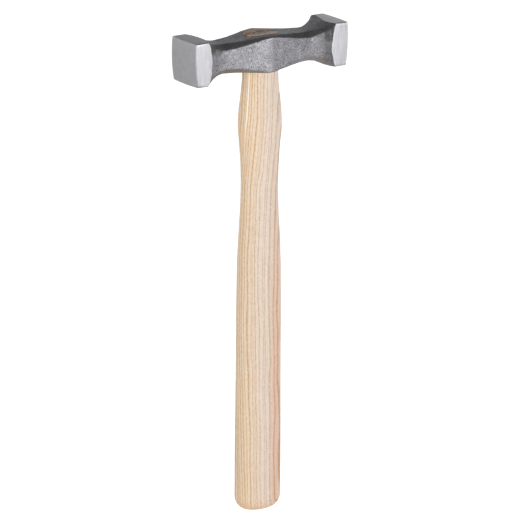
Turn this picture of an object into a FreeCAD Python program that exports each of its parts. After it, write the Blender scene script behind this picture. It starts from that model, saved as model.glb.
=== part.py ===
"""Double-faced planishing hammer: a forged steel head on an ash handle.

+Z runs up the handle, from the butt at z = 0 to the head at the top. X runs along the head, from the
fuller face at -X to the flatter face at +X, and Y runs across it. Lengths are in millimetres.

Four pieces make the hammer, as on a bench:
  head           one forging: an eight-sided barrel with the eye through it and a square face block each end
  handle         ash, oval, with a tenon that fills the eye and a kerf down the tenon
  wooden_wedge   hardwood wedge driven into the kerf, along the eye
  ring_wedge     tapered steel ring driven into the end grain, across the wooden wedge
"""

import FreeCAD, Part
import math
import operator
import os
import Sketcher

doc = FreeCAD.newDocument("planishing_hammer")
sheet = doc.addObject("Spreadsheet::Sheet", "sizes")

# ---------------------------------------------------------------- driving sizes

SIZES = [
    ("eye_centre_height", 306.2, "head's axis above the butt"),
    ("face_distance", 58, "from the eye to the middle of each face's upright edges"),
    ("face_size", 28.4, "side of each square face"),
    ("face_rake", 0.5, "a face's top edge stands out, and its lower edge in, by this much"),
    ("full_crown_radius", 100, "sphere that domes the -X face"),
    ("flat_crown_radius", 140, "sphere that domes the +X face"),
    ("face_edge_radius", 1.2, "broken edge round each face"),
    ("block_edge_radius", 1.3, "broken long edges of the ground blocks"),
    ("barrel_width", 28, "cheek to cheek at the eye"),
    ("barrel_height", 24.6, "top to bottom at the eye"),
    ("barrel_slope_across", 2.5, "sloping corner at the eye, across"),
    ("barrel_slope_down", 1.0, "sloping corner at the eye, down"),
    ("neck_distance", 32, "from the eye to the thinnest part of the head"),
    ("neck_size", 19.6, "the thinnest part, flat to flat"),
    ("neck_slope", 3.7, "sloping corner at the neck, across and down"),
    ("flare_radius", 23.5, "sweep from the neck out to a face block"),
    ("flare_corner_reach", 22, "past the neck, where the flare's sloping corners would shrink to nothing"),
    ("eye_reach", 13, "the eye's end sections, above and below its waist"),
    ("eye_lower_length", 25.5, "eye at its lower end, along the head"),
    ("eye_lower_width", 16.6, "eye at its lower end, across"),
    ("eye_waist_length", 22.6, "eye at its waist, along the head"),
    ("eye_waist_width", 14.4, "eye at its waist, across"),
    ("eye_upper_length", 24.2, "eye at its upper end, along the head"),
    ("eye_upper_width", 15.8, "eye at its upper end, across"),
    ("tenon_proud", 0.3, "end grain above the top of the head"),
    ("tenon_crown_radius", 75, "end grain dressed to the curve of the head's top"),
    ("butt_edge_radius", 8.5, "rounded end of the grip"),
    ("wedge_depth", 15, "wooden wedge, from the head's top down"),
    ("wedge_thickness", 3.2, "wooden wedge at the head's top"),
    ("wedge_tip", 1, "wooden wedge at its leading edge"),
    ("ring_depth", 9, "ring wedge, from the head's top down"),
    ("ring_radius", 4.4, "ring wedge outside, at the head's top"),
    ("ring_tip_radius", 3.8, "ring wedge outside, at its leading edge"),
    ("ring_bore_radius", 3.3, "ring wedge inside"),
]

# Oval sections of the handle below the head: name, height above the butt, size along X, size along Y
HANDLE_SECTIONS = [
    ("butt", 0, 31.6, 24.8),
    ("heel", 40, 31.6, 24.8),
    ("palm", 78, 31.3, 24.5),
    ("grip", 118, 30.8, 24.1),
    ("fingers", 153, 30.4, 23.9),
    ("taper", 181, 28.8, 22.7),
    ("narrow", 203, 26.3, 20.9),
    ("waist", 223, 25.7, 20.4),
    ("rise", 242, 27.5, 21.1),
    ("shoulder", 260, 30.5, 22.4),
    ("drop", 277, 27.4, 19.4),
]


class Size:
    """A length that carries both its number and the expression that binds it to the sheet."""

    def __init__(self, text, number):
        self.text = text
        self.number = float(number)

    def combine(self, sign, work, other, swapped=False):
        other = other if isinstance(other, Size) else Size(repr(other), other)
        left, right = (other, self) if swapped else (self, other)
        return Size(f"({left.text} {sign} {right.text})", work(left.number, right.number))

    def __add__(self, other):
        return self.combine("+", operator.add, other)

    def __sub__(self, other):
        return self.combine("-", operator.sub, other)

    def __rsub__(self, other):
        return self.combine("-", operator.sub, other, swapped=True)

    def __mul__(self, other):
        return self.combine("*", operator.mul, other)

    def __rmul__(self, other):
        return self.combine("*", operator.mul, other, swapped=True)

    def __truediv__(self, other):
        return self.combine("/", operator.truediv, other)

    def __neg__(self):
        return self * -1.0

    def root(self):
        return Size(f"sqrt({self.text})", math.sqrt(self.number))


ZERO = Size("0", 0)


def fill_sheet():
    """Writes every driving size into the sheet and returns them by name."""
    rows = list(SIZES)
    for name, height, length, width in HANDLE_SECTIONS:
        rows.append((f"{name}_height", height, "handle section, above the butt"))
        rows.append((f"{name}_length", length, "handle section, along X"))
        rows.append((f"{name}_width", width, "handle section, along Y"))
    sizes = {}
    for row, (alias, number, meaning) in enumerate(rows, start=1):
        sheet.set(f"A{row}", alias)
        sheet.set(f"B{row}", str(number))
        sheet.set(f"C{row}", meaning)
        sheet.setAlias(f"B{row}", alias)
        sizes[alias] = Size(f"{sheet.Name}.{alias}", number)
    doc.recompute()
    return sizes


size = fill_sheet()
half_face = size["face_size"] / 2.0
half_barrel = size["barrel_height"] / 2.0

# ---------------------------------------------------------------- sketch and body helpers


def new_body(name, height=ZERO):
    """A body whose origin stands at the given height on the handle's axis."""
    body = doc.addObject("PartDesign::Body", name)
    body.Label = name
    body.setExpression("Placement.Base.z", height.text)
    return body


def new_sketch(body, name, plane, shift=None):
    """A sketch on an origin plane of the body; shift moves it along the plane's normal."""
    sketch = body.newObject("Sketcher::SketchObject", name)
    support = next(f for f in body.Origin.OriginFeatures if f.Role == plane)
    sketch.AttachmentSupport = [(support, "")]
    sketch.MapMode = "FlatFace"
    if shift is not None:
        sketch.setExpression("AttachmentOffset.Base.z", shift.text)
    return sketch


def constrain(sketch, size_of_it, kind, *where):
    """Adds a dimension and binds it to its expression."""
    index = sketch.addConstraint(Sketcher.Constraint(kind, *where, size_of_it.number))
    sketch.setExpression(f"Constraints[{index}]", size_of_it.text)


def outline(sketch, corners, arcs=None):
    """A closed outline through the corners. An arc is keyed by the corner it starts from.

    Corners run anticlockwise. A positive arc radius bulges out of the outline, a negative one into it.
    """
    arcs = arcs or {}
    ends = []
    count = len(corners)
    for i in range(count):
        first = FreeCAD.Vector(corners[i][0].number, corners[i][1].number, 0)
        second = FreeCAD.Vector(corners[(i + 1) % count][0].number, corners[(i + 1) % count][1].number, 0)
        radius = arcs.get(i)
        if radius is None:
            edge = sketch.addGeometry(Part.LineSegment(first, second), False)
            ends.append((edge, 1, 2))
            continue
        chord = second - first
        outward = FreeCAD.Vector(chord.y, -chord.x, 0).normalize()
        reach = abs(radius.number)
        rise = reach - math.sqrt(reach ** 2 - (chord.Length / 2.0) ** 2)
        middle = (first + second) / 2.0 + outward * math.copysign(rise, radius.number)
        edge = sketch.addGeometry(Part.Arc(first, middle, second), False)
        ends.append((edge, 1, 2) if radius.number > 0 else (edge, 2, 1))
    for i in range(count):
        edge, start, _ = ends[i]
        before, _, finish = ends[i - 1]
        sketch.addConstraint(Sketcher.Constraint("Coincident", before, finish, edge, start))
        constrain(sketch, corners[i][0], "DistanceX", -1, 1, edge, start)
        constrain(sketch, corners[i][1], "DistanceY", -1, 1, edge, start)
        if i in arcs:
            positive = arcs[i] if arcs[i].number > 0 else -arcs[i]
            constrain(sketch, positive, "Radius", edge)
    return sketch


def ellipse(sketch, length, width):
    """An ellipse about the sketch's origin, with its long axis along the sketch's X."""
    centre = FreeCAD.Vector(0, 0, 0)
    sketch.addGeometry(Part.Ellipse(centre, length.number / 2.0, width.number / 2.0), False)
    sketch.exposeInternalGeometry(0)
    sketch.addConstraint(Sketcher.Constraint("Coincident", 0, 3, -1, 1))
    sketch.addConstraint(Sketcher.Constraint("Horizontal", 1))
    constrain(sketch, length, "Distance", 1)
    constrain(sketch, width, "Distance", 2)
    return sketch


def box_corners(left, bottom, right, top):
    return [(left, bottom), (right, bottom), (right, top), (left, top)]


def loft(body, kind, name, sketches):
    feature = body.newObject(f"PartDesign::{kind}", name)
    feature.Profile = sketches[0]
    feature.Sections = sketches[1:]
    for sketch in sketches:
        sketch.Visibility = False
    doc.recompute()
    return feature


def cut_through(body, name, sketch):
    """Cuts the sketch's outline right through the body, both ways from the sketch."""
    feature = body.newObject("PartDesign::Pocket", name)
    feature.Profile = sketch
    feature.Type = "ThroughAll"
    feature.SideType = "Symmetric"
    sketch.Visibility = False
    doc.recompute()
    return feature


def round_edges(body, name, radius, wanted):
    """Rounds the edges of the body's last feature for which wanted(edge) holds."""
    last = body.Tip
    picked = [f"Edge{i}" for i, edge in enumerate(last.Shape.Edges, start=1) if wanted(edge)]
    fillet = body.newObject("PartDesign::Fillet", name)
    fillet.Base = (last, picked)
    fillet.setExpression("Radius", radius.text)
    doc.recompute()
    return fillet


# ---------------------------------------------------------------- the eye, shared by head and handle


def eye_sections(body, centre):
    """Oval sections of the hour-glass eye, about the given height in the body."""
    sections = []
    for name, shift in (("lower", -size["eye_reach"]), ("waist", ZERO), ("upper", size["eye_reach"])):
        sketch = new_sketch(body, f"{body.Label}_eye_{name}", "XY_Plane", centre + shift)
        sections.append(ellipse(sketch, size[f"eye_{name}_length"], size[f"eye_{name}_width"]))
    return sections


def dress_end_grain(body, centre):
    """Cuts the top of a piece in the eye to the curve of the head's top."""
    reach = size["eye_reach"] * 1.5
    radius = size["tenon_crown_radius"]
    crest = centre + half_barrel + size["tenon_proud"]
    shoulder = crest - radius + (radius * radius - reach * reach).root()
    corners = box_corners(-reach, shoulder, reach, crest + 10.0)
    sketch = outline(new_sketch(body, f"{body.Label}_dressed_top", "XZ_Plane"), corners, {0: -radius})
    return cut_through(body, f"{body.Label}_dressing", sketch)


def wedge_corners(centre):
    """Section of the wooden wedge in the YZ plane, carried on above the head's top."""
    crest = centre + half_barrel
    slope = (size["wedge_thickness"] - size["wedge_tip"]) / (2.0 * size["wedge_depth"])
    tip = size["wedge_tip"] / 2.0
    wide = size["wedge_thickness"] / 2.0 + slope * 3.0
    floor = crest - size["wedge_depth"]
    return [(-tip, floor), (tip, floor), (wide, crest + 3.0), (-wide, crest + 3.0)]


def seat_ring(body, centre):
    """Turns out the tapered seat of the ring wedge."""
    seat = body.newObject("PartDesign::Groove", f"{body.Label}_ring_seat")
    seat.Profile = outline(new_sketch(body, f"{body.Label}_ring_section", "XZ_Plane"), ring_corners(centre, 3.0))
    seat.ReferenceAxis = (seat.Profile[0], ["V_Axis"])
    seat.Angle = 360
    doc.recompute()
    return seat


def ring_corners(centre, extra):
    """Half section of the ring wedge, carried on above the head's top by extra."""
    crest = centre + half_barrel
    floor = crest - size["ring_depth"]
    bore = size["ring_bore_radius"]
    slope = (size["ring_radius"] - size["ring_tip_radius"]) / size["ring_depth"]
    return [
        (bore, floor),
        (size["ring_tip_radius"], floor),
        (size["ring_radius"] + slope * extra, crest + extra),
        (bore, crest + extra),
    ]


# ---------------------------------------------------------------- head


def barrel_section(body, name, distance, across, down, slope_across, slope_down):
    """Eight-sided section of the barrel at a distance along the head."""
    flat_y = across - slope_across
    flat_z = down - slope_down
    corners = [
        (across, -flat_z),
        (across, flat_z),
        (flat_y, down),
        (-flat_y, down),
        (-across, flat_z),
        (-across, -flat_z),
        (-flat_y, -down),
        (flat_y, -down),
    ]
    return outline(new_sketch(body, name, "YZ_Plane", distance), corners)


def flare_section(body, name, angle):
    """Section of the flare, at an angle round its sweep: an octagon grown outwards by one margin.

    The octagon starts as the neck's, and its sloping corners shrink along the flare.
    """
    grown = size["flare_radius"] * (1.0 - math.cos(angle))
    past_neck = size["flare_radius"] * math.sin(angle)
    distance = size["neck_distance"] + past_neck
    slope = size["neck_slope"] * (1.0 - past_neck / size["flare_corner_reach"])
    near = size["neck_size"] / 2.0
    far = near - slope
    corner_radius = (near * near + far * far).root()
    scale = (corner_radius + grown) / corner_radius

    def bulge(half_chord, middle):
        rise = middle + grown - middle * scale
        half = half_chord * scale
        return (half * half + rise * rise) / (2.0 * rise)

    flat = bulge(far, near)
    sloping = bulge(slope / math.sqrt(2), (near + far) / math.sqrt(2))
    across, down = near * scale, far * scale
    corners = [
        (across, -down),
        (across, down),
        (down, across),
        (-down, across),
        (-across, down),
        (-across, -down),
        (-down, -across),
        (down, -across),
    ]
    arcs = {i: (flat if i % 2 == 0 else sloping) for i in range(8)}
    return outline(new_sketch(body, name, "YZ_Plane", distance), corners, arcs)


def build_head():
    body = new_body("head", size["eye_centre_height"])

    # half of the barrel, from the ridge at the eye down to the neck
    steps = 4
    barrel = []
    for step in range(steps + 1):
        along = step / steps
        eased = 0.5 - 0.5 * math.cos(math.pi * along ** 0.8)
        distance = size["neck_distance"] * along
        across = size["barrel_width"] / 2.0 * (1 - along) + size["neck_size"] / 2.0 * along
        down = half_barrel * (1 - eased) + size["neck_size"] / 2.0 * eased
        slope_across = size["barrel_slope_across"] * (1 - along) + size["neck_slope"] * along
        slope_down = size["barrel_slope_down"] * (1 - along) + size["neck_slope"] * along
        name = f"barrel_section_{step}"
        barrel.append(barrel_section(body, name, distance, across, down, slope_across, slope_down))
    half_barrel_loft = loft(body, "AdditiveLoft", "barrel", barrel)

    # flare from the neck out to where it has passed the corners of the face block
    angles = [math.radians(a) for a in (14, 28, 42, 56)]
    near = size["neck_size"] / 2.0
    neck = barrel_section(
        body, "neck_section", size["neck_distance"], near, near, size["neck_slope"], size["neck_slope"]
    )
    flares = [flare_section(body, f"flare_section_{i}", a) for i, a in enumerate(angles)]
    flare = loft(body, "AdditiveLoft", "flare", [neck] + flares)

    # face block, longer than the head so that the faces can be ground back
    block_start = size["neck_distance"] + size["flare_radius"] * math.sin(angles[-1])
    block_sketch = outline(
        new_sketch(body, "block_section", "YZ_Plane", block_start),
        box_corners(-half_face, -half_face, half_face, half_face),
    )
    block = body.newObject("PartDesign::Pad", "face_block")
    block.Profile = block_sketch
    block.setExpression("Length", (size["face_distance"] + 4.0 - block_start).text)
    block_sketch.Visibility = False
    doc.recompute()

    mirrored = body.newObject("PartDesign::Mirrored", "other_half")
    mirrored.Originals = [half_barrel_loft, flare, block]
    mirrored.MirrorPlane = (next(f for f in body.Origin.OriginFeatures if f.Role == "YZ_Plane"), [""])
    body.Tip = mirrored
    doc.recompute()

    for name, side in (("left_block", -1), ("right_block", 1)):
        grind_block(body, name, side)
    dome_face(body, "full_face", -1, size["full_crown_radius"])
    dome_face(body, "flatter_face", 1, size["flat_crown_radius"])
    loft(body, "SubtractiveLoft", "eye", eye_sections(body, ZERO))
    past_blocks = size["face_distance"].number - 3.5
    round_edges(
        body,
        "broken_face_edges",
        size["face_edge_radius"],
        lambda edge: min(abs(v.X) for v in edge.Vertexes) > past_blocks,
    )
    return body


def dome_face(body, name, side, crown):
    """Grinds one end to a sphere, centred high enough for the face to lean by the rake."""
    centre = size["face_distance"] - (crown * crown - half_face * half_face).root()
    height = half_face * 2.0
    crest = (centre + crown) * side
    edge = (centre + (crown * crown - height * height).root()) * side
    past = (size["face_distance"] + 8.0) * side
    sketch = new_sketch(body, f"{name}_arc", "XZ_Plane")
    sketch.setExpression("AttachmentOffset.Base.y", (size["face_rake"] / half_face * crown).text)
    if side > 0:
        outline(sketch, [(past, ZERO), (past, height), (edge, height), (crest, ZERO)], {2: -crown})
    else:
        outline(sketch, [(past, ZERO), (crest, ZERO), (edge, height), (past, height)], {1: -crown})
    groove = body.newObject("PartDesign::Groove", name)
    groove.Profile = sketch
    groove.ReferenceAxis = (sketch, ["H_Axis"])
    groove.Angle = 360
    sketch.Visibility = False
    doc.recompute()


def grind_block(body, name, side):
    """Grinds the four sides of one end flat: all that stands outside the square is cut away, from the neck out."""
    sketch = new_sketch(body, f"{name}_square", "YZ_Plane", size["neck_distance"] * side)
    outer = half_face * 2.0
    outline(sketch, box_corners(-outer, -outer, outer, outer))
    round_square(sketch, half_face, size["block_edge_radius"])
    pocket = body.newObject("PartDesign::Pocket", f"{name}_ground_sides")
    pocket.Profile = sketch
    pocket.Type = "ThroughAll"
    pocket.Reversed = side > 0
    sketch.Visibility = False
    doc.recompute()


def round_square(sketch, half, radius):
    """A square with rounded corners, added to a sketch."""
    inset = half - radius
    corners = []
    for turn in range(4):
        points = [(half, -inset), (half, inset)]
        for _ in range(turn):
            points = [(-y, x) for x, y in points]
        corners += points
    arcs = {i: radius for i in range(1, 8, 2)}
    return outline(sketch, corners, arcs)


# ---------------------------------------------------------------- handle, wooden wedge and ring wedge


def build_handle():
    body = new_body("handle")
    centre = size["eye_centre_height"]
    tenon_sections = eye_sections(body, centre)
    shaft_sections = []
    for name, *_ in HANDLE_SECTIONS:
        sketch = new_sketch(body, f"{name}_section", "XY_Plane", size[f"{name}_height"])
        shaft_sections.append(ellipse(sketch, size[f"{name}_length"], size[f"{name}_width"]))
    throat = new_sketch(body, "throat_section", "XY_Plane", centre - size["eye_reach"])
    ellipse(throat, size["eye_lower_length"], size["eye_lower_width"])
    loft(body, "AdditiveLoft", "shaft", shaft_sections + [throat])
    loft(body, "AdditiveLoft", "tenon", tenon_sections)
    dress_end_grain(body, centre)
    kerf = outline(new_sketch(body, "kerf_section", "YZ_Plane"), wedge_corners(centre))
    cut_through(body, "kerf", kerf)
    seat_ring(body, centre)

    round_edges(body, "rounded_butt", size["butt_edge_radius"], lambda edge: edge.BoundBox.ZMax < 0.01)
    return body


def build_wooden_wedge():
    body = new_body("wooden_wedge", size["eye_centre_height"])
    loft(body, "AdditiveLoft", "eye_filling", eye_sections(body, ZERO))
    dress_end_grain(body, ZERO)
    seat_ring(body, ZERO)
    trim = new_sketch(body, "wedge_section", "YZ_Plane")
    far = size["eye_reach"] * 2.0
    outline(trim, box_corners(-far, -far, far, far))
    outline(trim, wedge_corners(ZERO))
    cut_through(body, "wedge_sides", trim)
    return body


def build_ring_wedge():
    body = new_body("ring_wedge", size["eye_centre_height"])
    ring = body.newObject("PartDesign::Revolution", "ring")
    section = new_sketch(body, "ring_half_section", "XZ_Plane")
    ring.Profile = outline(section, ring_corners(ZERO, size["tenon_proud"].number))
    ring.ReferenceAxis = (section, ["V_Axis"])
    ring.Angle = 360
    doc.recompute()
    return body


# ---------------------------------------------------------------- build, check and export

bodies = [build_head(), build_handle(), build_wooden_wedge(), build_ring_wedge()]
doc.recompute()

for item in doc.Objects:
    if "Invalid" in item.State or "Error" in item.State:
        raise RuntimeError(f"{item.Name} did not compute: {item.State}")

os.makedirs("parts", exist_ok=True)
for body in bodies:
    shape = body.Shape
    if shape.isNull() or not shape.isValid() or len(shape.Solids) != 1:
        raise RuntimeError(f"{body.Label} is not one valid solid")
    shape.exportStep(f"parts/{body.Label}.step")
    box = shape.BoundBox
    print(f"{body.Label}: {shape.Volume / 1000:.2f} cm3, z {box.ZMin:.2f} to {box.ZMax:.2f}")
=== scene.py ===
"""Looks of the planishing hammer: forged and ground steel head, ash handle, wooden wedge and ring wedge.

Lengths in the shape and material functions are in millimetres, in the row frame: +Z up the handle, X along
the head. Floor, lights and camera are placed in metres.
"""
import math

import bmesh
import bpy
import numpy as np
from mathutils import Matrix, Vector, noise


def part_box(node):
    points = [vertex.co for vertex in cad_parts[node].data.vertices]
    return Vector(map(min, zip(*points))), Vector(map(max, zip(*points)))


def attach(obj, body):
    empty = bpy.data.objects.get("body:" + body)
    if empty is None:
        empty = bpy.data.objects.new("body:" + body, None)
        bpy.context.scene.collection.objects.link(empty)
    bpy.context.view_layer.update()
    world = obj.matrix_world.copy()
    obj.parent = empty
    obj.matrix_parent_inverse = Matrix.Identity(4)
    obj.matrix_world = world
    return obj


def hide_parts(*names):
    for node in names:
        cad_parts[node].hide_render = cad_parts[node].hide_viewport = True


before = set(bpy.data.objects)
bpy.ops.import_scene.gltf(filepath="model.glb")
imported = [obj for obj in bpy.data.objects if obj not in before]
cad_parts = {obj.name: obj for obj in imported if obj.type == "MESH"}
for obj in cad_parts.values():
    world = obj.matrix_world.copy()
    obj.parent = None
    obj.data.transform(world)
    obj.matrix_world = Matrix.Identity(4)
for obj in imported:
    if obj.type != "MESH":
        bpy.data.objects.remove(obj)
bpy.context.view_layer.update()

MM = 0.001
TAU = 2 * math.pi

# ---------------------------------------------------------------- sizes

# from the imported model
head_low, head_high = (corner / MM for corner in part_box("head"))
face_half = (head_high.z - head_low.z) / 2
eye_height = (head_high.z + head_low.z) / 2

# barrel: half sizes at the eye and at the necks, and how far its sloping corners cut in, across and down
cheek_half = 14.05
crest_half = 12.3
neck_half = 9.8
neck_distance = 32.0
cheek_slope = (2.5, 1.0)
neck_slope = (3.7, 3.7)
corner_softness = 0.28
crease_rounding = 0.5
crease_shift = 0.2
crest_power = 0.8

# flares from the necks to the face blocks
flare_radius = 23.5
flare_arc_share = 0.97
flare_corner_reach = 22.0
least_slope_share = 0.05
widest_skin = 25
bar_half_length = 61

# the +X flare's far top corner starts later and turns tighter, and its skin runs further onto the block
far_top_later = 1.4
far_top_tighter = 3.5
skin_reach = 47.7
skin_reach_lean = 0.24
skin_slope = 0.12
skin_dip = 0.35
skin_dip_zone = (40, 52)

# forging marks: how many to a millimetre, and how deep on the barrel and how much deeper on the flares
broad_marks, broad_depth, broad_flare_depth = 0.16, 0.16, 0.24
fine_marks, fine_depth, fine_flare_depth = 0.55, 0.06, 0.12

# face blocks: how far out the middle of a face's side lies, how the face leans, and the radius of its dome
face_distance = 58.0
face_lean = 0.5 / face_half
crown_radius = {-1: 100.0, 1: 140.0}
ground_edge = 0.55
block_corner = 0.6
face_corner = 0.9
# inwards of the flats' start, the grinding shape widens over a short length to clear the barrel
flats_start = 43.0
flats_lead_in = 5.0
flats_clearance = 6

# handle
butt_dome = 8.5
waist_height = 216
swell_height = 258
handle_step = 1.5
# handle ovals: height, size along X, size along Y
HANDLE_OVALS = [
    (0, 31.6, 24.8),
    (40, 31.7, 24.9),
    (90, 31.1, 24.4),
    (148, 30.6, 24.0),
    (168, 30.0, 23.6),
    (184, 28.5, 22.5),
    (200, 26.6, 21.1),
    (waist_height, 25.6, 20.4),
    (230, 26.0, 20.6),
    (244, 27.9, 21.4),
    (swell_height, 30.5, 22.5),
    (265, 30.1, 21.9),
    (278, 27.4, 19.5),
    (287, 25.8, 17.5),
    (293.2, 25.5, 16.6),
]

# eye ovals, about the head's axis, and the tenon's reach in them
EYE_OVALS = [(-13, 25.5, 16.6), (0, 22.6, 14.4), (13, 24.2, 15.8)]
eye_tool_reach = 14.5
eye_clearance = 0.06
tenon_low, tenon_high = -13, 11
end_grain_height = eye_height + crest_half + 0.3
end_grain_radius = 75.0
end_grain_bevel = 0.25

# wooden wedge and its kerf
wedge_bottom = eye_height - 3
wedge_length = 15
wedge_tip_half = 0.5
wedge_head_half = 1.6
wedge_bevel = 0.12
kerf_top = eye_height + 16
kerf_reach = 30
kerf_clearance = 0.12

# ring wedge and its seat
ring_bore = 3.3
ring_tip = 3.8
ring_rim = 4.4
ring_length = 9.3
seat_bottom = eye_height + 3
seat_top = eye_height + 13
seat_rim = 4.44
seat_clearance = 0.2


def through(rows, where):
    """A smooth curve through rows of (place, value, value, ...), read at the places in where."""
    rows = np.array(rows, float)
    place, values = rows[:, 0], rows[:, 1:]
    slope = np.gradient(values, place, axis=0)
    i = np.clip(np.searchsorted(place, where) - 1, 0, len(place) - 2)
    gap = (place[i + 1] - place[i])[:, None]
    u = (where - place[i])[:, None] / gap
    return (
        values[i] * (1 + 2 * u) * (1 - u) ** 2
        + values[i + 1] * u * u * (3 - 2 * u)
        + slope[i] * gap * u * (1 - u) ** 2
        + slope[i + 1] * gap * u * u * (u - 1)
    )


# ---------------------------------------------------------------- mesh helpers


def new_object(name, verts_mm, faces):
    mesh = bpy.data.meshes.new(name)
    mesh.from_pydata((verts_mm * MM).tolist(), [], faces)
    mesh.validate()
    piece = bpy.data.objects.new(name, mesh)
    bpy.context.scene.collection.objects.link(piece)
    return piece


def tube_of_rings(name, rings):
    """A closed mesh through rings of equal length; a fan closes each end round its ring's middle."""
    rings = [np.asarray(ring, float) for ring in rings]
    count = len(rings[0])
    verts = [rings[0].mean(0)] + [p for ring in rings for p in ring] + [rings[-1].mean(0)]
    faces = []
    for j in range(count):
        k = (j + 1) % count
        faces.append((0, 1 + k, 1 + j))
        last = 1 + (len(rings) - 1) * count
        faces.append((len(verts) - 1, last + j, last + k))
        for i in range(len(rings) - 1):
            a = 1 + i * count
            faces.append((a + j, a + k, a + count + k, a + count + j))
    return new_object(name, np.array(verts), faces)


def spin(name, profile, turns):
    """A closed mesh made by turning a closed profile of (radius, height) points about the Z axis."""
    count, width = len(turns), len(profile)
    verts = [(r * math.cos(a), r * math.sin(a), z) for a in turns for r, z in profile]
    faces = []
    for i in range(count):
        for j in range(width):
            k, m = (i + 1) % count, (j + 1) % width
            faces.append((i * width + j, k * width + j, k * width + m, i * width + m))
    return new_object(name, np.array(verts), faces)


def full_circle(count):
    """Evenly spaced turns, in radians."""
    return np.arange(count) / count * TAU


def ellipse(half_x, half_y, turns):
    return np.stack([half_x * np.cos(turns), half_y * np.sin(turns)], -1)


def at_height(outline, height):
    """A flat outline of (x, y) points, lifted to one height."""
    return np.column_stack([outline, np.full(len(outline), height)])


def cut(piece, tool, operation):
    """Applies an exact boolean, whose new faces keep the tool's material, and removes the tool.

    The slivers that it leaves are merged away, and faces of more than four corners become triangles.
    """
    modifier = piece.modifiers.new("cut", "BOOLEAN")
    modifier.operation = operation
    modifier.object = tool
    modifier.solver = "EXACT"
    modifier.material_mode = "TRANSFER"
    settled = piece.evaluated_get(bpy.context.evaluated_depsgraph_get())
    mesh = bpy.data.meshes.new_from_object(settled)
    if not mesh.polygons:
        raise RuntimeError("nothing is left of " + piece.name)
    sliver = 0.01 * MM
    clean = bmesh.new()
    clean.from_mesh(mesh)
    bmesh.ops.remove_doubles(clean, verts=clean.verts, dist=sliver)
    bmesh.ops.triangulate(clean, faces=[face for face in clean.faces if len(face.verts) > 4])
    bmesh.ops.dissolve_degenerate(clean, edges=clean.edges, dist=sliver)
    clean.to_mesh(mesh)
    clean.free()
    piece.modifiers.clear()
    piece.data = mesh
    bpy.data.objects.remove(tool)


def finish_surface(piece, sharp_degrees):
    """Shades the piece smooth, with its edges sharp where they turn by more than an angle."""
    piece.data.shade_smooth()
    piece.data.set_sharp_from_angle(angle=math.radians(sharp_degrees))


def crisp_material_edges(piece):
    """Marks sharp each edge between the first material and another, as where grinding cuts the skin."""
    mesh = bmesh.new()
    mesh.from_mesh(piece.data)
    for edge in mesh.edges:
        materials = {face.material_index for face in edge.link_faces}
        if len(materials) > 1 and 0 in materials:
            edge.smooth = False
    mesh.to_mesh(piece.data)
    mesh.free()


# ---------------------------------------------------------------- head


def forged_radius(x, turn):
    """Distance of the forged skin from the head's axis, at x along it and a turn round it (0 is +Y).

    The section is an octagon, whose cheek, crest and sloping planes blend softly. It tapers from the eye to
    the necks, and past them it grows along an arc.
    """
    along = np.minimum((np.sqrt(x * x + crease_rounding) - crease_shift) / neck_distance, 1)
    across = cheek_half + (neck_half - cheek_half) * along
    down = crest_half + (neck_half - crest_half) * (0.5 - 0.5 * np.cos(math.pi * along ** crest_power))
    slope_y = cheek_slope[0] + (neck_slope[0] - cheek_slope[0]) * along
    slope_z = cheek_slope[1] + (neck_slope[1] - cheek_slope[1]) * along
    far_top = np.where(x > 0, 2 * np.maximum(np.cos(turn), 0) * np.maximum(np.sin(turn), 0), 0)
    radius = flare_radius - far_top_tighter * far_top
    past = np.clip(np.abs(x) - neck_distance - far_top_later * far_top, 0, radius * flare_arc_share)
    shrink = np.maximum(1 - past / flare_corner_reach, least_slope_share)
    slope_y, slope_z = slope_y * shrink, slope_z * shrink
    above_zero = 1e-9
    c, s = np.abs(np.cos(turn)) + above_zero, np.abs(np.sin(turn)) + above_zero
    corner = slope_z * across + slope_y * (down - slope_z)
    planes = [across / c, down / s, corner / (slope_z * c + slope_y * s)]
    nearest = -corner_softness * np.log(sum(np.exp(-plane / corner_softness) for plane in planes))
    grown = radius - np.sqrt(radius ** 2 - past ** 2)
    return np.minimum(nearest + grown, widest_skin)


def forged_relief(x, y, z):
    """Hammer and scale marks left by forging, deeper on the flares."""
    point = Vector((x, y, z))
    elsewhere = Vector((7, 0, 3))
    broad = noise.noise(point * broad_marks)
    fine = noise.noise(point * fine_marks + elsewhere)
    on_flare = min(max((abs(x) - (neck_distance + 6)) / 8, 0), 1)
    broad_height = (broad_depth + broad_flare_depth * on_flare) * broad
    fine_height = (fine_depth + fine_flare_depth * on_flare) * fine
    return broad_height + fine_height


def forged_bar():
    """The whole forging before it is ground, with the skin's dip onto the +X block's top."""
    turns = full_circle(216)
    near_eye = 20
    stations = [
        np.arange(-bar_half_length, -near_eye, 0.5),
        np.arange(-near_eye, near_eye, 0.4),
        np.arange(near_eye, bar_half_length + 0.1, 0.5),
    ]
    rings = []
    for x in np.concatenate(stations):
        radius = forged_radius(np.full_like(turns, x), turns)
        y, z = radius * np.cos(turns), radius * np.sin(turns)
        relief = np.array([forged_relief(x, b, c) for b, c in zip(y, z)])
        scale = (radius + relief) / radius
        dip = np.clip((skin_reach + skin_reach_lean * y - x) * skin_slope, 0, skin_dip)
        y, z = y * scale, z * scale
        if skin_dip_zone[0] < x < skin_dip_zone[1]:
            z = np.where(dip > 0, np.minimum(z, face_half - dip), z)
        rings.append(np.stack([np.full_like(turns, x), y, z + eye_height], -1))
    return tube_of_rings("head", rings)


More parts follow.
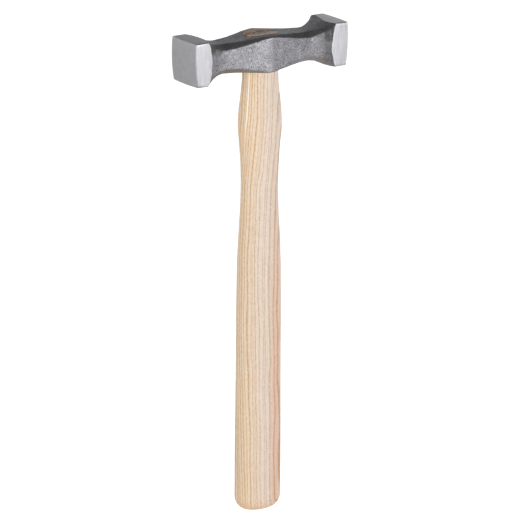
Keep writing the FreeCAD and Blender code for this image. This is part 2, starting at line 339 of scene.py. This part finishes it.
def rounded_square(half, corner, steps=5, side_points=20):
    """Points round a square with rounded corners, as (y, z) pairs."""
    points = []
    for quarter in range(4):
        angle = quarter * math.pi / 2
        centre = np.array([half - corner, half - corner])
        arc = np.linspace(0, math.pi / 2, steps)
        bend = centre + corner * np.stack([np.cos(arc), np.sin(arc)], -1)
        side = np.linspace(half - corner, corner - half, side_points)[1:-1]
        flat = np.stack([side, np.full(len(side), half)], -1)
        c, s = math.cos(angle), math.sin(angle)
        for y, z in np.concatenate([bend, flat]):
            points.append((c * y - s * z, s * y + c * z))
    return np.array(points)


def domed_face(side, y, z):
    """Where the domed, slightly leaning face lies along X; side is -1 or 1."""
    crown = crown_radius[side]
    centre = face_distance - math.sqrt(crown ** 2 - face_half ** 2)
    lift = face_lean * crown
    return side * (centre + np.sqrt(crown ** 2 - y ** 2 - (z - lift) ** 2))


def block_ring(x, yz):
    return np.column_stack([x, yz[:, 0], yz[:, 1] + eye_height])


def block_end(side):
    """Rings of one block's end, from the middle of its face outwards and round the ground edge."""
    rings = []
    for share in np.linspace(0.02, 1, 12):
        yz = rounded_square(face_half - ground_edge, face_corner) * share
        rings.append(block_ring(domed_face(side, yz[:, 0], yz[:, 1]), yz))
    for turn in np.linspace(math.pi / 2, 0, 7)[1:]:
        inset = ground_edge * (1 - math.cos(turn))
        back = ground_edge * (1 - math.sin(turn))
        corner = block_corner + (face_corner - block_corner) * inset / ground_edge
        yz = rounded_square(face_half - inset, corner)
        rings.append(block_ring(domed_face(side, yz[:, 0], yz[:, 1]) - side * back, yz))
    return rings


def ground_envelope(flats, face):
    """What grinding leaves: a square prism with domed ends, which stands clear of the barrel."""
    clear = flats_start - flats_lead_in
    wide = face_half + flats_clearance
    middle = []
    for x, half in ((-flats_start, face_half), (-clear, wide), (clear, wide), (flats_start, face_half)):
        yz = rounded_square(half, block_corner)
        middle.append(block_ring(np.full(len(yz), x), yz))
    tool = tube_of_rings("grinding", block_end(-1) + middle + block_end(1)[::-1])
    tool.data.materials.append(flats)
    tool.data.materials.append(face)
    for polygon in tool.data.polygons:
        is_face = abs(polygon.normal.x) > 0.8
        polygon.material_index = 1 if is_face else 0
    return tool


def eye_rings(turns, low, high, clearance=0.0):
    """Rings of the eye's wall between two heights about the head's axis."""
    rings = []
    heights = np.linspace(low, high, 15)
    for height, (length, width) in zip(heights, through(EYE_OVALS, heights)):
        oval = ellipse(length / 2 + clearance, width / 2 + clearance, turns)
        rings.append(at_height(oval, eye_height + height))
    return rings


def build_head(forged, flats, face):
    head = forged_bar()
    head.data.materials.append(forged)
    cut(head, ground_envelope(flats, face), "INTERSECT")
    eye = tube_of_rings("eye", eye_rings(full_circle(96), -eye_tool_reach, eye_tool_reach, eye_clearance))
    eye.data.materials.append(forged)
    cut(head, eye, "DIFFERENCE")
    finish_surface(head, sharp_degrees=22)
    crisp_material_edges(head)
    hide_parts("head")
    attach(head, "root")


# ---------------------------------------------------------------- handle, wedges


def dressed_top(x):
    """Height of the dressed end grain, which follows the curve of the head's top."""
    return end_grain_height - x * x / (2 * end_grain_radius)


def build_handle(ash):
    turns = full_circle(128)
    rings = []
    for angle in np.linspace(0.04, math.pi / 2, 14):
        height = butt_dome * (1 - math.cos(angle))
        length, width = through(HANDLE_OVALS, np.array([height]))[0]
        inset = butt_dome * (1 - math.sin(angle))
        rings.append(at_height(ellipse(length / 2 - inset, width / 2 - inset, turns), height))
    bottom = rings[0]
    for share in (0.75, 0.5, 0.25):
        rings.insert(0, bottom * [share, share, 1])
    heights = np.arange(butt_dome + handle_step, eye_height + tenon_low, handle_step)
    for height, (length, width) in zip(heights, through(HANDLE_OVALS, heights)):
        rings.append(at_height(ellipse(length / 2, width / 2, turns), height))
    tenon = eye_rings(turns, tenon_low, tenon_high)
    rings += tenon
    rim = tenon[-1][:, :2]
    for share in (1.0, 0.98, 0.9, 0.75, 0.55, 0.3, 0.1):
        oval = rim * share
        drop = end_grain_bevel if share == 1.0 else 0.0
        rings.append(np.column_stack([oval, dressed_top(oval[:, 0]) - drop]))
    handle = tube_of_rings("handle", rings)
    handle.data.materials.append(ash)
    cut(handle, kerf_tool(), "DIFFERENCE")
    cut(handle, ring_seat_tool(), "DIFFERENCE")
    finish_surface(handle, sharp_degrees=35)
    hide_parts("handle")
    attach(handle, "root")


def wedge_half_thickness(height):
    return wedge_tip_half + (wedge_head_half - wedge_tip_half) * (height - wedge_bottom) / wedge_length


def kerf_tool():
    rings = []
    for height in (wedge_bottom, kerf_top):
        half = wedge_half_thickness(height) + kerf_clearance
        corners = [(-kerf_reach, -half), (kerf_reach, -half), (kerf_reach, half), (-kerf_reach, half)]
        rings.append(at_height(corners, height))
    return tube_of_rings("kerf", rings)


def ring_seat_tool():
    profile = [
        (ring_bore, seat_bottom),
        (ring_tip + seat_clearance, seat_bottom),
        (seat_rim + seat_clearance, seat_top),
        (ring_bore, seat_top),
    ]
    return spin("seat", profile, full_circle(72))


def wedge_ring(half, length, width, height):
    """Outline of the wedge at one height: straight cheeks, ends on the eye's wall."""
    edge = np.linspace(-half, half, 5)
    end = length * np.sqrt(1 - (edge / width) ** 2)
    right = np.column_stack([end, edge])
    left = -right
    side = np.linspace(0, 1, 26)[1:-1, None]
    top = right[-1] * (1 - side) + left[0] * side
    low = left[-1] * (1 - side) + right[0] * side
    return at_height(np.concatenate([right, top, left, low]), height)


def build_wooden_wedge(wood):
    rings = []
    for height in np.linspace(wedge_bottom, eye_height + tenon_high, 15):
        length, width = through(EYE_OVALS, np.array([height - eye_height]))[0] / 2
        rings.append(wedge_ring(wedge_half_thickness(height), length, width, height))
    top = rings[-1]
    for share_x, share_y, drop in ((1.0, 1.0, wedge_bevel), (0.99, 0.92, 0.0), (0.6, 0.5, 0.0)):
        ring = top * [share_x, share_y, 1]
        ring[:, 2] = dressed_top(ring[:, 0]) - drop
        rings.append(ring)
    wedge = tube_of_rings("wooden_wedge", rings)
    wedge.data.materials.append(wood)
    cut(wedge, ring_seat_tool(), "DIFFERENCE")
    finish_surface(wedge, sharp_degrees=35)
    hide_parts("wooden_wedge")
    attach(wedge, "root")


def build_ring_wedge(steel):
    top = end_grain_height
    bottom = top - ring_length
    # up the tapered outside, then over the rim that the hammer has rounded
    profile = [
        (ring_bore, bottom),
        (ring_tip, bottom),
        (ring_rim, top - 0.3),
        (ring_rim - 0.15, top - 0.05),
        (ring_rim - 0.4, top),
        (ring_bore + 0.4, top),
        (ring_bore + 0.15, top - 0.08),
        (ring_bore, top - 0.3),
    ]
    ring = spin("ring_wedge", profile, full_circle(96))
    ring.data.materials.append(steel)
    finish_surface(ring, sharp_degrees=60)
    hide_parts("ring_wedge")
    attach(ring, "root")


# ---------------------------------------------------------------- material helpers


class Shader:
    """A material's node tree, with short calls for the nodes used here. Positions are in millimetres."""

    def __init__(self, name):
        self.material = bpy.data.materials.new(name)
        self.material.use_nodes = True
        self.tree = self.material.node_tree
        self.surface = self.tree.nodes["Principled BSDF"]
        place = self.tree.nodes.new("ShaderNodeTexCoord").outputs["Object"]
        self.place = self.stretch(place, (1 / MM, 1 / MM, 1 / MM))
        split = self.node("ShaderNodeSeparateXYZ", Vector=self.place)
        self.x, self.y, self.z = split.outputs

    def node(self, kind, settings=None, **inputs):
        node = self.tree.nodes.new(kind)
        for key, value in (settings or {}).items():
            setattr(node, key, value)
        for key, value in inputs.items():
            self.put(node.inputs[key.replace("_", " ")], value)
        return node

    def put(self, socket, value):
        if isinstance(value, bpy.types.NodeSocket):
            self.tree.links.new(value, socket)
        else:
            socket.default_value = value

    def stretch(self, vector, scale):
        node = self.tree.nodes.new("ShaderNodeVectorMath")
        node.operation = "MULTIPLY"
        self.put(node.inputs[0], vector)
        node.inputs[1].default_value = scale
        return node.outputs[0]

    def facing(self):
        """The X, Y and Z of the way the surface faces."""
        normal = self.node("ShaderNodeNewGeometry").outputs["True Normal"]
        return self.node("ShaderNodeSeparateXYZ", Vector=normal).outputs

    def maths(self, operation, *values):
        node = self.tree.nodes.new("ShaderNodeMath")
        node.operation = operation
        for socket, value in zip(node.inputs, values):
            self.put(socket, value)
        return node.outputs[0]

    def plus(self, first, second):
        return self.maths("ADD", first, second)

    def times(self, first, second):
        return self.maths("MULTIPLY", first, second)

    def noise(self, scale, detail=2.0, rough=0.5, stretch=None):
        vector = self.place if stretch is None else self.stretch(self.place, stretch)
        node = self.node("ShaderNodeTexNoise", Vector=vector, Scale=scale, Detail=detail, Roughness=rough)
        return node.outputs["Fac"]

    def noise_along(self, value, scale):
        """Noise that varies with one value only."""
        settings = {"noise_dimensions": "1D"}
        return self.node("ShaderNodeTexNoise", settings, W=value, Scale=scale, Detail=1.0).outputs["Fac"]

    def span(self, value, low, high, out_low=0.0, out_high=1.0):
        """Carries a value from one range to another, and holds it at the ends."""
        node = self.tree.nodes.new("ShaderNodeMapRange")
        for socket, number in zip(node.inputs, (value, low, high, out_low, out_high)):
            self.put(socket, number)
        return node.outputs[0]

    def band(self, value, rise, fall):
        """Goes from 0 to 1 over the range rise, and back to 0 over the range fall."""
        return self.times(self.span(value, *rise), self.span(value, *fall, 1.0, 0.0))

    def blend(self, share, first, second, mode="MIX"):
        node = self.tree.nodes.new("ShaderNodeMix")
        node.data_type = "RGBA"
        node.blend_type = mode
        self.put(node.inputs[0], share)
        for socket, colour in ((node.inputs[6], first), (node.inputs[7], second)):
            self.put(socket, (*colour, 1) if isinstance(colour, tuple) else colour)
        return node.outputs[2]

    def shade(self, share, colour, factor):
        """Makes a colour lighter or darker by a factor, as far as the share goes."""
        return self.blend(share, colour, (factor, factor, factor), "MULTIPLY")

    def bump(self, height, distance_mm, strength):
        node = self.node("ShaderNodeBump", Height=height, Distance=distance_mm * MM, Strength=strength)
        return node.outputs["Normal"]

    def finish(self, **inputs):
        for key, value in inputs.items():
            self.put(self.surface.inputs[key.replace("_", " ")], value)
        return self.material


# ---------------------------------------------------------------- materials


def blasted_skin(s, grain, mottle):
    """Colour of the shot-blasted skin: fine grain, pits and clouds, darker on the -X arm, and darker on the
    +X half, partly its own tone and partly painted shade beyond the cheek's ridge.
    """
    pits = s.noise(1.1, 2, 0.5)
    colour = s.blend(s.span(grain, 0.38, 0.58), (0.12, 0.119, 0.125), (0.43, 0.425, 0.45))
    colour = s.blend(s.span(pits, 0.38, 0.31, 0.0, 0.8), colour, (0.06, 0.059, 0.063))
    colour = s.blend(s.span(mottle, 0.38, 0.66, 0.0, 0.35), colour, (0.25, 0.245, 0.26))
    # the +X half is darker: partly its own tone, partly painted shade of the plane beyond the cheek's ridge
    colour = s.shade(s.span(s.x, -1.0, 1.0), colour, 0.86)
    colour = s.shade(s.span(s.x, -10, -26), colour, 0.93)
    cloud = s.span(s.noise(0.14, 3, 0.6), 0.35, 0.65)
    return s.blend(1.0, colour, s.blend(cloud, (0.85, 0.85, 0.85), (1.12, 1.12, 1.12)), "MULTIPLY")


def corner_scale(s, grain, facing):
    """Share of dark scale on the upper sloping corners, which face about as much upwards as sideways."""
    sideways = s.maths("ABSOLUTE", facing["Y"])
    narrower = s.maths("MINIMUM", sideways, facing["Z"])
    wider = s.maths("MAXIMUM", sideways, facing["Z"])
    slant = s.maths("MULTIPLY_ADD", grain, 0.5, s.maths("DIVIDE", narrower, wider))
    along = s.span(s.x, neck_distance + 6, neck_distance + 14, 1.0, 0.2)
    return s.times(s.span(slant, 0.65, 0.85, 0.0, 0.65), along)


def flare_scale(s, grain, scaled, facing):
    """Share of dark scale on the flares: from a ragged start on +X, and torn off below the top on -X."""
    ragged = s.plus(s.maths("MULTIPLY_ADD", scaled, 8.0, s.x), s.times(grain, 9.0))
    ragged = s.span(ragged, neck_distance + 14, neck_distance + 20)
    right = s.times(ragged, s.span(s.z, eye_height, eye_height + 8, 0.7, 1.2))
    torn = s.maths("MULTIPLY_ADD", scaled, 8.0, s.maths("MULTIPLY_ADD", grain, 6.0, s.z))
    torn = s.span(torn, eye_height + 10.5, eye_height + 13.5, 0.0, 1.1)
    left = s.times(s.span(s.x, 5 - neck_distance, -5 - neck_distance), torn)
    return s.times(s.plus(right, left), s.span(facing["Z"], 0.4, 0.8, 1.0, 0.4))


def forged_steel():
    """Shot-blasted forging with dark scale on its upper corners and flares, and rust in the skin beneath."""
    s = Shader("forged_steel")
    grain = s.noise(1.3, 6, 0.78)
    mottle = s.noise(0.45, 3, 0.6)
    marks = s.noise(1.0, 4, 0.65, stretch=(1.3, 0.09, 0.09))
    scaled = s.noise(0.3, 3, 0.65)
    facing = s.facing()
    colour = blasted_skin(s, grain, mottle)
    colour = s.blend(corner_scale(s, grain, facing), colour, (0.10, 0.097, 0.095))
    flare = flare_scale(s, grain, scaled, facing)
    marked = s.times(flare, s.span(s.plus(marks, scaled), 0.75, 1.1, 0.5, 0.95))
    colour = s.blend(marked, colour, (0.085, 0.082, 0.08))
    rusty = s.plus(s.span(s.x, -10, 12, 1.0, 0.1), s.span(s.x, 28, 40, 0.0, 0.6))
    rust = s.times(s.span(mottle, 0.3, 0.6, 0.3, 0.8), rusty)
    colour = s.blend(s.times(s.span(facing["Z"], -0.25, -0.7), rust), colour, (0.30, 0.24, 0.20))
    # the underside of the +X arm is made lighter: partly a cleaner skin, partly painted light
    lighter = s.times(s.span(facing["Z"], -0.2, -0.5), s.span(s.x, 4, 14))
    colour = s.shade(lighter, colour, 1.3)
    height = s.plus(s.times(grain, 0.7), s.noise(5, 2))
    height = s.plus(height, s.times(s.times(flare, marks), 0.8))
    return s.finish(
        Base_Color=colour,
        Metallic=0.92,
        Roughness=s.span(grain, 0.3, 0.65, 0.62, 0.44),
        Normal=s.bump(height, distance_mm=0.10, strength=0.8),
    )


def ground_steel():
    """Sides of the face blocks, ground across the head's length, with the +X block's top the brightest,
    partly by a brighter grind and partly by painted light.
    """
    s = Shader("ground_steel")
    lines = s.noise(1.0, 4, 0.7, stretch=(0.9, 0.07, 0.07))
    fine = s.noise(1.0, 3, 0.6, stretch=(6, 0.2, 0.2))
    tone = s.plus(s.times(lines, 0.6), s.times(fine, 0.4))
    colour = s.blend(s.span(tone, 0.35, 0.65), (0.31, 0.31, 0.323), (0.515, 0.515, 0.535))
    colour = s.shade(s.span(s.x, 30, -30), colour, 0.91)
    # the +X block's top is made brighter: partly a brighter grind, partly painted light
    brighter_grind_and_painted_light = s.times(s.span(s.x, 42, 56), s.span(s.facing()["Z"], 0.6, 0.9))
    colour = s.shade(brighter_grind_and_painted_light, colour, 1.25)
    return s.finish(
        Base_Color=colour,
        Metallic=1.0,
        Roughness=s.span(tone, 0.3, 0.7, 0.36, 0.48),
        Normal=s.bump(tone, distance_mm=0.02, strength=0.5),
    )


def struck_face():
    """The two striking faces, rubbed up and down and a little clouded."""
    s = Shader("struck_face")
    fine = s.noise(1.0, 3, 0.6, stretch=(1, 3.5, 0.25))
    cloud = s.noise(0.25, 2)
    tone = s.plus(s.times(fine, 0.6), s.times(cloud, 0.4))
    colour = s.blend(s.span(tone, 0.35, 0.65), (0.41, 0.41, 0.42), (0.51, 0.51, 0.52))
    return s.finish(
        Base_Color=colour,
        Metallic=1.0,
        Roughness=s.span(tone, 0.3, 0.7, 0.38, 0.48),
        Normal=s.bump(fine, distance_mm=0.012, strength=0.4),
    )


def across_the_rings(s):
    """Distance across the growth rings, which are nearly flat planes that lean at the swell and the butt."""
    drift = s.maths("MULTIPLY_ADD", s.noise(1.0, 2, 0.6, stretch=(0.05, 0.05, 0.012)), 5.0, -2.5)
    across = s.plus(s.times(s.x, 0.66), s.times(s.y, -0.75))
    swell_lean = s.span(s.z, waist_height + 2, swell_height + 6, 0.0, -6.5)
    swell_lean = s.times(swell_lean, s.span(across, -9, 12, 1.0, 0.45))
    lean = s.plus(swell_lean, s.span(s.z, 110, 0, 0.0, -2.5))
    return s.plus(across, s.plus(drift, lean))


def wood(name, ring_width, warm, pale, heart):
    """Ring-porous wood, whose pores string along each growth ring's early band.

    Each of warm, pale and heart is a pair of colours, for the ground and for the rings' lines. The wood goes
    from warm to pale across the rings, and a streak of heartwood runs beyond the last of them. A white streak
    marks one side of the swell, and the end grain in the eye is darker.
    """
    s = Shader(name)
    across = across_the_rings(s)
    rings = s.maths("MULTIPLY_ADD", s.noise_along(across, 0.22), 2.5, s.maths("DIVIDE", across, ring_width))
    early = s.band(s.maths("FRACT", rings), (0.0, 0.12), (0.15, 0.5))
    dashes = s.noise(1.0, 2, 0.6, stretch=(1.5, 1.5, 0.45))
    early = s.times(early, s.span(dashes, 0.38, 0.6, 0.5, 1.3))
    bold = s.span(s.noise_along(s.maths("FLOOR", rings), 3.7), 0.3, 0.7, 0.5, 1.1)
    fibre = s.noise(1.0, 3, 0.6, stretch=(2.0, 2.0, 0.03))
    pores = s.span(s.noise(1.0, 2, 0.6, stretch=(2.1, 2.1, 0.5)), 0.49, 0.57)
    pitted = s.times(pores, s.maths("MULTIPLY_ADD", early, 0.6, 0.4))

    streak = s.times(s.span(s.z, 240, 120), s.span(across, 9.0, 10.5))
    paleness = s.span(across, -6.0, 4.0)
    line = s.blend(streak, s.blend(paleness, warm[1], pale[1]), heart[1])
    colour = s.blend(paleness, warm[0], pale[0])
    colour = s.blend(s.span(fibre, 0.4, 0.7, 0.0, 0.3), colour, line)
    colour = s.blend(s.times(streak, 0.6), colour, heart[0])
    colour = s.blend(s.times(early, bold), colour, line)
    colour = s.blend(s.times(pitted, 0.6), colour, line)
    white = s.band(across, (-10.9, -10.4), (-9.9, -9.5))
    white = s.times(white, s.span(s.z, swell_height - 12, swell_height + 6, 0.0, 0.9))
    colour = s.blend(white, colour, (0.95, 0.86, 0.75))
    # the butt is darker towards its bottom: partly end grain, partly painted shade
    colour = s.blend(s.span(s.z, butt_dome + 0.5, 1, 0.0, 0.35), colour, warm[1])
    end_grain = s.span(s.z, eye_height + 8, eye_height + 10, 0.0, 0.6)
    colour = s.blend(end_grain, colour, (0.34, 0.20, 0.125))
    relief = s.plus(s.times(pitted, -1.0), s.times(fibre, 0.3))
    return s.finish(
        Base_Color=colour,
        Roughness=s.span(fibre, 0.3, 0.7, 0.46, 0.6),
        Normal=s.bump(relief, distance_mm=0.06, strength=0.6),
    )


def ring_steel():
    """Plain steel, tarnished in patches."""
    s = Shader("ring_steel")
    tone = s.noise(2.5, 3, 0.6)
    colour = s.blend(s.span(tone, 0.4, 0.6), (0.16, 0.15, 0.15), (0.55, 0.55, 0.56))
    bumpy = s.bump(tone, distance_mm=0.05, strength=0.5)
    return s.finish(Base_Color=colour, Metallic=1.0, Roughness=0.42, Normal=bumpy)


# ---------------------------------------------------------------- floor, light and camera


def build_floor():
    """A pale floor that glows a little, and more to the camera, so that it shows as plain white."""
    reach = 6 / MM
    corners = [(x * reach, y * reach, 0) for x, y in ((-1, -1), (1, -1), (1, 1), (-1, 1))]
    floor = new_object("floor", np.array(corners, float), [(0, 1, 2, 3)])
    s = Shader("floor")
    seen = s.tree.nodes.new("ShaderNodeLightPath").outputs["Is Camera Ray"]
    s.finish(
        Base_Color=(0.82, 0.82, 0.82, 1),
        Roughness=0.9,
        Specular_IOR_Level=0.0,
        Emission_Color=(1, 1, 1, 1),
        Emission_Strength=s.maths("MULTIPLY_ADD", seen, 0.6, 0.3),
    )
    floor.data.materials.append(s.material)


def build_world():
    """White up to the horizon, dark half way up and lighter overhead; the camera itself sees plain white."""
    world = bpy.data.worlds.new("studio")
    bpy.context.scene.world = world
    world.use_nodes = True
    tree = world.node_tree
    height = tree.nodes.new("ShaderNodeSeparateXYZ")
    tree.links.new(tree.nodes.new("ShaderNodeTexCoord").outputs["Generated"], height.inputs[0])
    ramp = tree.nodes.new("ShaderNodeValToRGB")
    ramp.color_ramp.interpolation = "EASE"
    stops = ramp.color_ramp.elements
    stops.remove(stops[1])
    for rise, grey, blue in ((0.1, 1.0, 1.01), (0.62, 0.09, 0.095), (0.84, 0.09, 0.095), (1.0, 0.45, 0.455)):
        stops.new(rise).color = (grey, grey, blue, 1)
    stops.remove(stops[0])
    tree.links.new(height.outputs["Z"], ramp.inputs[0])
    seen = tree.nodes.new("ShaderNodeMix")
    seen.data_type = "RGBA"
    tree.links.new(tree.nodes.new("ShaderNodeLightPath").outputs["Is Camera Ray"], seen.inputs[0])
    tree.links.new(ramp.outputs[0], seen.inputs[6])
    seen.inputs[7].default_value = (1, 1, 1, 1)
    tree.links.new(seen.outputs[2], tree.nodes["Background"].inputs[0])


def bearing(azimuth, elevation):
    """The direction at two angles in degrees; azimuth 0 is in front (-Y), and positive is towards +X."""
    a, e = math.radians(azimuth), math.radians(elevation)
    return Vector((math.sin(a) * math.cos(e), -math.cos(a) * math.cos(e), math.sin(e)))


def aim(thing, place, target, roll=0.0):
    """Puts a camera or light at a place, looking at a target; roll turns it about its line of sight."""
    back = (Vector(place) - Vector(target)).normalized()
    right = Vector((0, 0, 1)).cross(back).normalized()
    up = back.cross(right)
    turned = math.cos(roll) * right + math.sin(roll) * up
    upright = math.cos(roll) * up - math.sin(roll) * right
    turn = Matrix((turned, upright, back)).transposed().to_4x4()
    thing.matrix_world = Matrix.Translation(Vector(place)) @ turn


def softbox(name, azimuth, elevation, distance, size, power):
    """An area light aimed at the hammer's upper half."""
    data = bpy.data.lights.new(name, "AREA")
    data.shape = "RECTANGLE"
    data.size, data.size_y = size
    data.energy = power
    light = bpy.data.objects.new(name, data)
    bpy.context.scene.collection.objects.link(light)
    target = Vector((0, 0, 0.2))
    aim(light, target + bearing(azimuth, elevation) * distance, target)


def build_camera():
    """A long lens a few metres off, to the left of the front and above, turned a little on its axis."""
    data = bpy.data.cameras.new("camera")
    data.lens = 323.3
    data.clip_end = 50
    camera = bpy.data.objects.new("camera", data)
    bpy.context.scene.collection.objects.link(camera)
    distance = 3.0
    target = Vector((0.0006, -0.0004, 0.1677))
    aim(camera, target + bearing(-34.1, 16.4) * distance, target, roll=math.radians(0.4))
    bpy.context.scene.camera = camera


# ---------------------------------------------------------------- build

build_head(forged_steel(), ground_steel(), struck_face())
ash = wood(
    "ash",
    ring_width=1.8,
    warm=((0.80, 0.665, 0.51), (0.59, 0.33, 0.12)),
    pale=((0.77, 0.65, 0.55), (0.51, 0.34, 0.22)),
    heart=((0.72, 0.49, 0.35), (0.54, 0.26, 0.13)),
)
build_handle(ash)
brown = ((0.20, 0.115, 0.07), (0.15, 0.08, 0.05))
build_wooden_wedge(wood("wedge_wood", ring_width=1.4, warm=brown, pale=brown, heart=brown))
build_ring_wedge(ring_steel())

build_floor()
build_world()
softbox("key", azimuth=19, elevation=1, distance=2.6, size=(1.75, 0.6), power=26.5)
softbox("back", azimuth=188, elevation=36, distance=2.6, size=(1.4, 0.7), power=4.5)
softbox("corner", azimuth=-32, elevation=-2, distance=2.6, size=(0.9, 0.6), power=7)
softbox("side", azimuth=80, elevation=0, distance=2.6, size=(1.2, 0.6), power=7)
softbox("fill", azimuth=-72, elevation=8, distance=2.4, size=(1.4, 1.0), power=18.5)
build_camera()
bpy.context.scene.view_settings.view_transform = "Standard"
